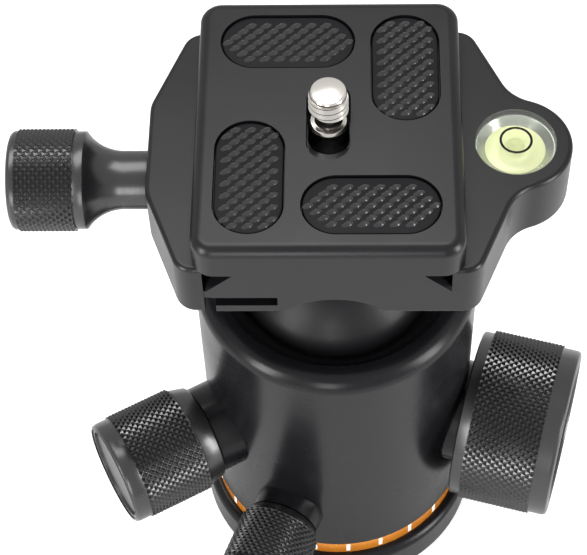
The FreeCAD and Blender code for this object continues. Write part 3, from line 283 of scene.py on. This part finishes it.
level_liquid = metal("level_liquid", (0.70, 0.75, 0.33), (0.80, 0.84, 0.42), 0.25, depth=0.02)
liquid_glow_shader = level_liquid.node_tree.nodes["Principled BSDF"]
# Painted light: a faint emission makes the liquid glow, though it is no lamp.
liquid_glow_shader.inputs["Emission Color"].default_value = (0.76, 0.82, 0.28, 1.0)
liquid_glow_shader.inputs["Emission Strength"].default_value = 0.08
level_clear = clear("level_clear", (0.95, 0.97, 0.93), 0.07, 0.05)
level_air = clear("level_air", (0.62, 0.68, 0.30), 0.35, 0.08)
target_print = metal("target_print", (0.004, 0.004, 0.004), (0.008, 0.008, 0.008), 0.5,
                     specular=0.1)
print("finishes", len(bpy.data.materials))

# %% [markdown]
# Many of the workshop's solids already have their true shape. They only need their finish, which
# goes into the material slot of each one. A table says which finish belongs to which piece.

# %% Finishes of the solids
FINISHES = {
    satin_black: ["base_plate", "housing", "ball_stem", "ball_seat_ring"],
    plate_black: ["camera_plate", "clamp_body", "clamp_jaw"],
    nickel: ["tripod_bush", "pan_spindle", "lock_wedge", "friction_wedge", "jaw_guide_pins",
             "jaw_springs"],
    dark_steel: ["base_screws", "spindle_collar", "ball_lock_screw", "friction_screw",
                 "pan_lock_screw", "clamp_mount_screw", "clamp_screw", "screw_keeper"],
    black_plastic: ["pan_washer", "ball_cup", "pan_lock_pad"],
    ball_black: ["ball"],
    orange_anodised: ["scale_ring"],
    cap_grey: ["ball_lock_cap", "friction_cap", "pan_lock_cap"],
    level_clear: ["level_lens"],
    level_air: ["level_bubble"],
    target_print: ["level_target"],
}


def paint(piece, material):
    piece.data.materials.clear()
    piece.data.materials.append(material)


for material, names in FINISHES.items():
    for name in names:
        paint(nodes[name], material)
print("solids finished", sum(len(names) for names in FINISHES.values()))

# %% [markdown]
# The hand-made pieces are drawn in millimetres round the world's middle, where a circle is easy to
# reason about, and settled into their real place at the end. Settling scales the piece to metres,
# turns it, moves it, and applies all three, so its object lies at the origin like the solids.

# %% Helpers for hand-made pieces


def start_clean():
    if bpy.context.object and bpy.context.object.mode != "OBJECT":
        bpy.ops.object.mode_set(mode="OBJECT")
    bpy.ops.object.select_all(action="DESELECT")


def only(piece):
    start_clean()
    piece.select_set(True)
    bpy.context.view_layer.objects.active = piece


def edit(piece, mode="VERT"):
    only(piece)
    bpy.ops.object.mode_set(mode="EDIT")
    bpy.ops.mesh.select_mode(type=mode)
    bpy.ops.mesh.select_all(action="DESELECT")


def finish_edit():
    bpy.ops.object.mode_set(mode="OBJECT")


def apply_modifier(piece, kind, **settings):
    only(piece)
    modifier = piece.modifiers.new(kind.lower(), kind)
    for key, value in settings.items():
        setattr(modifier, key, value)
    bpy.ops.object.modifier_apply(modifier=modifier.name)


def join(pieces, name):
    start_clean()
    for piece in pieces:
        piece.select_set(True)
    bpy.context.view_layer.objects.active = pieces[0]
    bpy.ops.object.join()
    pieces[0].name = name
    return pieces[0]


def settle(piece, place, turn=None, angle=35):
    """Millimetres to metres, then turned, moved and applied, with smooth shading by angle."""
    only(piece)
    piece.matrix_world = (
        Matrix.Translation(Vector(place) * MM)
        @ (turn.to_4x4() if turn else Matrix.Identity(4))
        @ Matrix.Scale(MM, 4)
    )
    bpy.ops.object.transform_apply(location=True, rotation=True, scale=True)
    bpy.ops.object.shade_smooth_by_angle(angle=math.radians(angle))
    return piece


def dress(piece, material, body, replaced):
    """Gives a piece its finish and its body. The scale marks alone replace no solid."""
    paint(piece, material)
    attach(piece, body)
    if replaced:
        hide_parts(*replaced)


# %% [markdown]
# A knob comes off a lathe. By hand it is a circle that is drawn out step by step: extrude, scale,
# extrude, scale, as the profile asks. Small bevels catch the light on each edge afterwards.

# %% Lathe work
ROUND = 96


def turned(name, profile, bevel):
    """Draws out a circle along +Z. The profile lists (height, radius) steps."""
    start_clean()
    height, radius = profile[0]
    bpy.ops.mesh.primitive_circle_add(vertices=ROUND, radius=radius, location=(0, 0, 0))
    piece = bpy.context.object
    piece.name = name
    bpy.ops.object.mode_set(mode="EDIT")
    bpy.ops.mesh.select_all(action="SELECT")
    bpy.ops.transform.translate(value=(0, 0, height))
    for next_height, next_radius in profile[1:]:
        bpy.ops.mesh.extrude_region_move(
            TRANSFORM_OT_translate={"value": (0, 0, next_height - height)})
        if next_radius == 0:
            bpy.ops.mesh.merge(type="CENTER")
        else:
            ratio = next_radius / radius
            bpy.ops.transform.resize(value=(ratio, ratio, 1))
        height, radius = next_height, next_radius
    bpy.ops.mesh.select_all(action="SELECT")
    bpy.ops.mesh.fill_holes(sides=0)
    bpy.ops.mesh.select_all(action="SELECT")
    bpy.ops.mesh.normals_make_consistent(inside=False)
    finish_edit()
    if bevel:
        apply_modifier(piece, "BEVEL", width=bevel, segments=2, limit_method="ANGLE",
                       angle_limit=math.radians(30), use_clamp_overlap=True)
    return piece


# %% [markdown]
# Diamond knurling is pressed in by two crossed rollers, which leaves rows of small pyramids, every
# second row shifted by half a step. One pyramid is a cone with four sides. Spin copies it round the
# grip, an array repeats the ring along it, and a second set fills the gaps. Bisect trims the ends.

# %% Knurling
TOOTH = 0.42
TOOTH_SUNK = 0.03


def knurl_ring(radius, count, height_step, turn_offset, low):
    """One ring of pyramids round the Z axis at a height, pointing outwards."""
    start_clean()
    bpy.ops.mesh.primitive_cone_add(vertices=4, radius1=0.5, radius2=0.09, depth=TOOTH,
                                    location=(0, 0, 0))
    piece = bpy.context.object
    around = 2 * math.pi * radius / count
    piece.scale = (height_step, around, 1.0)
    bpy.ops.object.transform_apply(location=False, rotation=False, scale=True)
    piece.rotation_euler = (0, math.pi / 2, 0)
    piece.location = (radius + TOOTH / 2, 0, low)
    bpy.ops.object.transform_apply(location=True, rotation=True, scale=False)
    bpy.ops.object.mode_set(mode="EDIT")
    bpy.ops.mesh.select_all(action="SELECT")
    step = 2 * math.pi / count
    bpy.ops.mesh.spin(steps=count - 1, dupli=True, angle=step * (count - 1), center=(0, 0, 0),
                      axis=(0, 0, 1))
    finish_edit()
    only(piece)
    piece.rotation_euler = (0, 0, turn_offset * step)
    bpy.ops.object.transform_apply(location=False, rotation=True, scale=False)
    return piece


def knurled_band(name, radius, low, high, count, rows):
    """Crossed rows of pyramids between two heights, trimmed flush at both ends."""
    step = (high - low) / rows
    full = knurl_ring(radius - TOOTH, count, step, 0.0, low + step / 2)
    apply_modifier(full, "ARRAY", count=rows, use_relative_offset=False, use_constant_offset=True,
                   constant_offset_displace=(0, 0, step))
    between = knurl_ring(radius - TOOTH, count, step, 0.5, low)
    apply_modifier(between, "ARRAY", count=rows + 1, use_relative_offset=False,
                   use_constant_offset=True, constant_offset_displace=(0, 0, step))
    for height, direction in ((low, -1), (high, 1)):
        edit(between)
        bpy.ops.mesh.select_all(action="SELECT")
        bpy.ops.mesh.bisect(plane_co=(0, 0, height), plane_no=(0, 0, direction), use_fill=True,
                            clear_outer=True)
        finish_edit()
    return join([full, between], name)


# %% [markdown]
# Three knobs stand on the housing. Each is a flange, a knurled grip a little prouder than its
# neighbours, and an end ring with a recess for the cap. Their sizes are measured off the solids
# they replace, so each knob stays on its own screw.

# %% Knobs of the housing


def knob_turn(azimuth):
    """Turns a piece drawn along +Z so that it points away from the axis of the head."""
    direction = Vector((math.cos(math.radians(azimuth)), math.sin(math.radians(azimuth)), 0))
    side = Vector((-direction.y, direction.x, 0))
    return Matrix((side, Vector((0, 0, 1)), direction)).transposed()


def make_knob(name, azimuth, axis_height, start, flange, grip, end, cap_radius, count, rows):
    """flange is (radius, outer radius, length), grip and end are (radius, length)."""
    flange_radius, flange_top, flange_length = flange
    grip_low = start + flange_length
    grip_high = grip_low + grip[1]
    front = grip_high + end[1]
    recess = front - 2.4
    groove = 0.25
    core = turned(name + "_core", [
        (start, flange_radius - 1.6),
        (start, flange_radius - 0.25),
        (start + 0.25, flange_radius),
        (grip_low - groove, flange_top),
        (grip_low - groove, grip[0] - TOOTH - 0.15),
        (grip_low, grip[0] - TOOTH - 0.15),
        (grip_low, grip[0] - TOOTH + TOOTH_SUNK),
        (grip_high, grip[0] - TOOTH + TOOTH_SUNK),
        (grip_high, end[0]),
        (front - 0.8, end[0]),
        (front - 0.25, end[0] - 0.2),
        (front, end[0] - 0.75),
        (front, cap_radius + 0.9),
        (front - 0.25, cap_radius + 0.75),
        (front - 0.25, cap_radius),
        (recess, cap_radius),
    ], bevel=0.08)
    band = knurled_band(name + "_teeth", grip[0], grip_low, grip_high, count, rows)
    knob = join([core, band], name)
    settle(knob, (0, 0, axis_height), knob_turn(azimuth), angle=28)
    return knob


lock_knob = make_knob("lock_knob_turned", -15.1, 32.2, 25.3, (15.4, 15.4, 2.1), (16.0, 12.9),
                      (15.6, 3.4), 12.3, 72, 9)
dress(lock_knob, knurl_black, "lock_knob", ["ball_lock_knob"])
friction_knob = make_knob("friction_knob_turned", 209.3, 37.4, 28.1, (8.8, 9.6, 3.5),
                          (10.0, 11.8), (9.7, 3.2), 8.3, 46, 9)
dress(friction_knob, knurl_black, "friction_knob", ["friction_knob"])
pan_knob = make_knob("pan_knob_turned", 248.7, 24.4, 27.5, (6.6, 7.2, 1.8), (7.5, 9.9),
                     (7.2, 2.4), 5.8, 34, 8)
dress(pan_knob, knurl_black, "pan_lock_knob", ["pan_lock_knob"])
print("knob faces", [len(knob.data.polygons) for knob in (lock_knob, friction_knob, pan_knob)])

# %% [markdown]
# The clamp's knob has a slim waist that swells into its grip in one concave sweep. The sweep is
# most of a quarter circle, so its steps are worked out and not listed.

# %% Knob of the clamp
WAIST = 4.8
SWELL = 8.0
SWEEP_START = 34.3
SWEEP_END = 40.4
SWEEP_STEPS = 12
SWEEP_SHARE = 0.86
CLAMP_GRIP = 8.4
CLAMP_GRIP_LOW = 42.2
CLAMP_GRIP_HIGH = 51.4

sweep = []
for index in range(SWEEP_STEPS + 1):
    share = index / SWEEP_STEPS
    bend = math.sqrt(1 - (share * SWEEP_SHARE) ** 2)
    fall = (1 - bend) / (1 - math.sqrt(1 - SWEEP_SHARE ** 2))
    sweep.append((SWEEP_START + (SWEEP_END - SWEEP_START) * share, WAIST + (SWELL - WAIST) * fall))
clamp_core = turned("clamp_core", [
    (30.0, WAIST - 0.3),
    (30.3, WAIST),
    *sweep,
    (42.0, SWELL),
    (42.0, 7.7),
    (CLAMP_GRIP_LOW, 7.7),
    (CLAMP_GRIP_LOW, CLAMP_GRIP - TOOTH + TOOTH_SUNK),
    (CLAMP_GRIP_HIGH, CLAMP_GRIP - TOOTH + TOOTH_SUNK),
    (CLAMP_GRIP_HIGH, 8.1),
    (52.1, 8.1),
    (52.55, 7.85),
    (52.8, 7.3),
    (52.8, 5.9),
    (52.6, 5.6),
], bevel=0.08)
clamp_teeth = knurled_band("clamp_teeth", CLAMP_GRIP, CLAMP_GRIP_LOW, CLAMP_GRIP_HIGH, 38, 7)
clamp_knob = join([clamp_core, clamp_teeth], "clamp_knob_turned")
settle(clamp_knob, (0, 0, 96.5), knob_turn(180), angle=28)
dress(clamp_knob, knurl_black, "clamp_knob", ["clamp_knob"])
print("clamp knob faces", len(clamp_knob.data.polygons))

# %% [markdown]
# Four rubber pads keep the camera from slipping. Each is a flat bar with full round ends, covered
# in small slanted nubs in staggered rows. The bar is a block whose upright edges are bevelled
# until they meet, and one nub is modelled and copied to each place that lies inside the outline.

# %% Grip pads
PAD_LENGTH = 21.2
PAD_WIDTH = 10.6
PAD_TOP = 111.75
PAD_LOW = 110.0
NUB_ACROSS = 2.42
NUB_ALONG = 1.14
NUB_HEIGHT = 0.62
NUB_COLUMNS = 6
NUB_SUNK = 0.04
NUB_FROM_EDGE = 0.75


def pad_slab(name, length, width, height):
    start_clean()
    bpy.ops.mesh.primitive_cube_add(size=1, location=(0, 0, height / 2))
    slab = bpy.context.object
    slab.name = name
    slab.scale = (length, width, height)
    bpy.ops.object.transform_apply(location=True, rotation=False, scale=True)
    edit(slab, "EDGE")
    finish_edit()
    for edge in slab.data.edges:
        first, last = (slab.data.vertices[index].co for index in edge.vertices)
        edge.select = abs(first.z - last.z) > height / 2
    bpy.ops.object.mode_set(mode="EDIT")
    bpy.ops.mesh.bevel(offset=width / 2 - 0.01, segments=14, profile=0.5, affect="EDGES")
    finish_edit()
    apply_modifier(slab, "BEVEL", width=0.3, segments=3, limit_method="ANGLE",
                   angle_limit=math.radians(40))
    return slab


def nub_mould():
    """One nub: a low eight-sided cone, drawn out to a slanted wave crest and softened."""
    start_clean()
    bpy.ops.mesh.primitive_cone_add(vertices=8, radius1=0.84, radius2=0.11, depth=NUB_HEIGHT,
                                    location=(0, 0, NUB_HEIGHT / 2), end_fill_type="NGON")
    nub = bpy.context.object
    nub.name = "nub_mould"
    paint(nub, rubber)
    nub.scale = (1.35, 0.74, 1.0)
    bpy.ops.object.transform_apply(location=True, rotation=False, scale=True)
    nub.rotation_euler = (0, 0, math.radians(28))
    bpy.ops.object.transform_apply(location=False, rotation=True, scale=False)
    apply_modifier(nub, "BEVEL", width=0.08, segments=1, limit_method="ANGLE",
                   angle_limit=math.radians(30))
    return nub


def inside_pad(x, y, along):
    """Whether a nub at a place on the pad stands fully on its top."""
    reach, side = (x, y) if along == "x" else (y, x)
    straight = max(abs(reach) - (PAD_LENGTH - PAD_WIDTH) / 2, 0)
    return math.hypot(straight, side) < PAD_WIDTH / 2 - NUB_FROM_EDGE


def make_pad(name, node, centre, along, mould):
    slab = pad_slab(name + "_slab", PAD_LENGTH, PAD_WIDTH, PAD_TOP - PAD_LOW)
    paint(slab, rubber_ground)
    if along == "y":
        only(slab)
        slab.rotation_euler = (0, 0, math.pi / 2)
        bpy.ops.object.transform_apply(location=False, rotation=True, scale=False)
    pieces = [slab]
    rows = int(PAD_LENGTH / NUB_ALONG)
    for row in range(-rows, rows + 1):
        for column in range(-NUB_COLUMNS, NUB_COLUMNS + 1):
            x = (column + 0.5 * (row % 2)) * NUB_ACROSS
            y = row * NUB_ALONG
            if not inside_pad(x, y, along):
                continue
            nub = mould.copy()
            nub.data = mould.data.copy()
            nub.location = (x, y, PAD_TOP - PAD_LOW - NUB_SUNK)
            bpy.context.scene.collection.objects.link(nub)
            pieces.append(nub)
    pad = join(pieces, name)
    settle(pad, (centre[0], centre[1], PAD_LOW), angle=30)
    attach(pad, "plate")
    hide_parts(node)
    return pad


PLATE_MIDDLE = -0.9
mould = nub_mould()
pads = [
    make_pad("pad_back", "grip_pad_back", (PLATE_MIDDLE - 6.6, 16.2), "x", mould),
    make_pad("pad_front", "grip_pad_front", (PLATE_MIDDLE + 6.6, -16.2), "x", mould),
    make_pad("pad_left", "grip_pad_left", (PLATE_MIDDLE - 12.2, -10.8), "y", mould),
    make_pad("pad_right", "grip_pad_right", (PLATE_MIDDLE + 12.2, 10.8), "y", mould),
]
bpy.data.objects.remove(mould)
print("pad faces", [len(pad.data.polygons) for pad in pads])

# %% [markdown]
# The camera screw is the brightest thing in the picture, and its thread is seen close up. A thread
# is a small V drawn round an axis while it climbs, which is just what the Screw modifier does.
# Bisect trims it to length and closes both ends. The shank and the head are lathe work.

# %% Camera screw
THREAD_RADIUS = 3.175
THREAD_PITCH = 1.27
THREAD_DEPTH = 0.62
SCREW_X = -0.9
SCREW_Y = 2.1
PLATE_TOP = 112.0
THREAD_LENGTH = 4.8


def thread(name, radius, depth, pitch, low, high):
    """A helical V thread round the Z axis, trimmed flat at two heights."""
    start_clean()
    root = radius - depth
    bpy.ops.mesh.primitive_plane_add(size=1, location=(0, 0, 0))
    piece = bpy.context.object
    piece.name = name
    turns = int((high - low) / pitch) + 3
    begin = low - 1.5 * pitch
    corners = [(root, begin), (radius, begin + 0.44 * pitch), (radius, begin + 0.56 * pitch),
               (root, begin + pitch)]
    edit(piece)
    bpy.ops.mesh.select_all(action="SELECT")
    bpy.ops.mesh.merge(type="CENTER")
    bpy.ops.transform.translate(value=(corners[0][0], 0, corners[0][1]))
    for before, after in zip(corners, corners[1:]):
        bpy.ops.mesh.extrude_vertices_move(TRANSFORM_OT_translate={
            "value": (after[0] - before[0], 0, after[1] - before[1])})
    finish_edit()
    apply_modifier(piece, "SCREW", axis="Z", angle=2 * math.pi, screw_offset=pitch,
                   iterations=turns, steps=48, render_steps=48, use_merge_vertices=True,
                   merge_threshold=0.0005)
    for height, direction in ((low, -1), (high, 1)):
        edit(piece)
        bpy.ops.mesh.select_all(action="SELECT")
        bpy.ops.mesh.bisect(plane_co=(0, 0, height), plane_no=(0, 0, direction), use_fill=True,
                            clear_outer=True)
        finish_edit()
    edit(piece)
    bpy.ops.mesh.select_all(action="SELECT")
    bpy.ops.mesh.remove_doubles(threshold=0.0005)
    bpy.ops.mesh.normals_make_consistent(inside=False)
    finish_edit()
    return piece


screw_thread = thread("screw_thread", THREAD_RADIUS, THREAD_DEPTH, THREAD_PITCH, 0.35, 3.9)
screw_shank = turned("screw_shank", [
    (-11.6, 6.3),
    (-11.6, 6.8),
    (-11.3, 7.0),
    (-8.6, 7.0),
    (-8.6, 3.3),
    (-2.9, 3.3),
    (-2.5, 2.9),
    (-2.5, 2.2),
    (0.3, 2.2),
    (0.36, THREAD_RADIUS - THREAD_DEPTH + 0.01),
    (3.88, THREAD_RADIUS - THREAD_DEPTH + 0.01),
    (3.88, THREAD_RADIUS - 0.25),
    (4.45, THREAD_RADIUS - 0.25),
    (THREAD_LENGTH - 0.1, THREAD_RADIUS - 0.42),
    (THREAD_LENGTH, THREAD_RADIUS - 0.7),
    (THREAD_LENGTH, 0),
], bevel=0.05)
camera_screw = join([screw_shank, screw_thread], "camera_screw_cut")
settle(camera_screw, (SCREW_X, SCREW_Y, PLATE_TOP), angle=32)
dress(camera_screw, nickel, "camera_screw", ["camera_screw"])
print("camera screw faces", len(camera_screw.data.polygons))

# %% [markdown]
# The bubble level is a clear vial in the round lobe of the clamp. Under its cap a silvery wall
# tapers down to a bright liquid floor, and a printed ring frames the bubble. The wall and the floor
# are turned here, and the clear cap, the bubble and the print keep the workshop's solids.

# %% Bubble level
LEVEL_X = 28.85
LEVEL_Y = 0.7
LEVEL_LOW = 99.8
VIAL_TOP = 4.7
VIAL_FLOOR = 3.7

vial_wall = turned("vial_wall_turned", [
    (VIAL_FLOOR - 0.6, 4.5),
    (VIAL_FLOOR - 0.1, 4.8),
    (VIAL_TOP - 0.3, 5.9),
    (VIAL_TOP - 0.02, 6.1),
    (VIAL_TOP - 0.02, 6.48),
    (0.0, 6.48),
    (0.0, 4.0),
], bevel=0.04)
settle(vial_wall, (LEVEL_X, LEVEL_Y, LEVEL_LOW), angle=30)
dress(vial_wall, silver_wall, "clamp", ["level_cup"])
vial_floor = turned("vial_floor_turned", [
    (VIAL_FLOOR - 0.7, 4.5),
    (VIAL_FLOOR - 0.1, 4.85),
    (VIAL_FLOOR, 4.7),
    (VIAL_FLOOR + 0.04, 3.0),
    (VIAL_FLOOR + 0.06, 0),
], bevel=0)
settle(vial_floor, (LEVEL_X, LEVEL_Y, LEVEL_LOW), angle=40)
dress(vial_floor, level_liquid, "clamp", ["level_fluid"])
print("level at", LEVEL_X, LEVEL_Y)

# %% [markdown]
# The orange ring carries the pan scale. Its short white marks are paint in shallow cuts, one every
# fifteen degrees. One mark is a small bevelled bar, and spin copies it round the ring.

# %% Scale marks
MARK_COUNT = 24
MARK_WIDTH = 0.75
MARK_LOW = 9.1
MARK_HIGH = 11.7
RING_RADIUS = 24.3

start_clean()
bpy.ops.mesh.primitive_cube_add(size=1, location=(0, 0, 0))
marks = bpy.context.object
marks.name = "scale_marks"
marks.scale = (0.2, MARK_WIDTH, MARK_HIGH - MARK_LOW)
marks.location = (RING_RADIUS - 0.06, 0, (MARK_LOW + MARK_HIGH) / 2)
bpy.ops.object.transform_apply(location=True, rotation=False, scale=True)
apply_modifier(marks, "BEVEL", width=0.06, segments=2)
edit(marks)
bpy.ops.mesh.select_all(action="SELECT")
mark_step = 2 * math.pi / MARK_COUNT
bpy.ops.mesh.spin(steps=MARK_COUNT - 1, dupli=True, angle=mark_step * (MARK_COUNT - 1),
                  center=(0, 0, 0), axis=(0, 0, 1))
finish_edit()
settle(marks, (0, 0, 0), Matrix.Rotation(math.radians(4.8), 3, "Z"))
dress(marks, white_paint, "base", None)
print("scale marks", MARK_COUNT)

# %% [markdown]
# The floor is plain and pale, and only there to catch a soft shadow. It isn't part of the object.

# %% Floor
start_clean()
bpy.ops.mesh.primitive_plane_add(size=3.0, location=(0, 0, -0.0002))
floor = bpy.context.object
floor.name = "floor"
PAPER_GLOW = 0.45
paper = bpy.data.materials.new("paper")
paper.use_nodes = True
paper_tree = paper.node_tree
paper_shader = paper_tree.nodes["Principled BSDF"]
paper_shader.inputs["Roughness"].default_value = 0.9
paper_shader.inputs["Base Color"].default_value = (0.86, 0.86, 0.86, 1.0)
paper_shader.inputs["Emission Color"].default_value = (1.0, 1.0, 1.0, 1.0)
paper_paths = paper_tree.nodes.new("ShaderNodeLightPath")
paper_glow = paper_tree.nodes.new("ShaderNodeMath")
paper_glow.operation = "MULTIPLY"
paper_glow.inputs[1].default_value = PAPER_GLOW
paper_tree.links.new(paper_paths.outputs["Is Camera Ray"], paper_glow.inputs[0])
paper_tree.links.new(paper_glow.outputs["Value"], paper_shader.inputs["Emission Strength"])
floor.data.materials.append(paper)
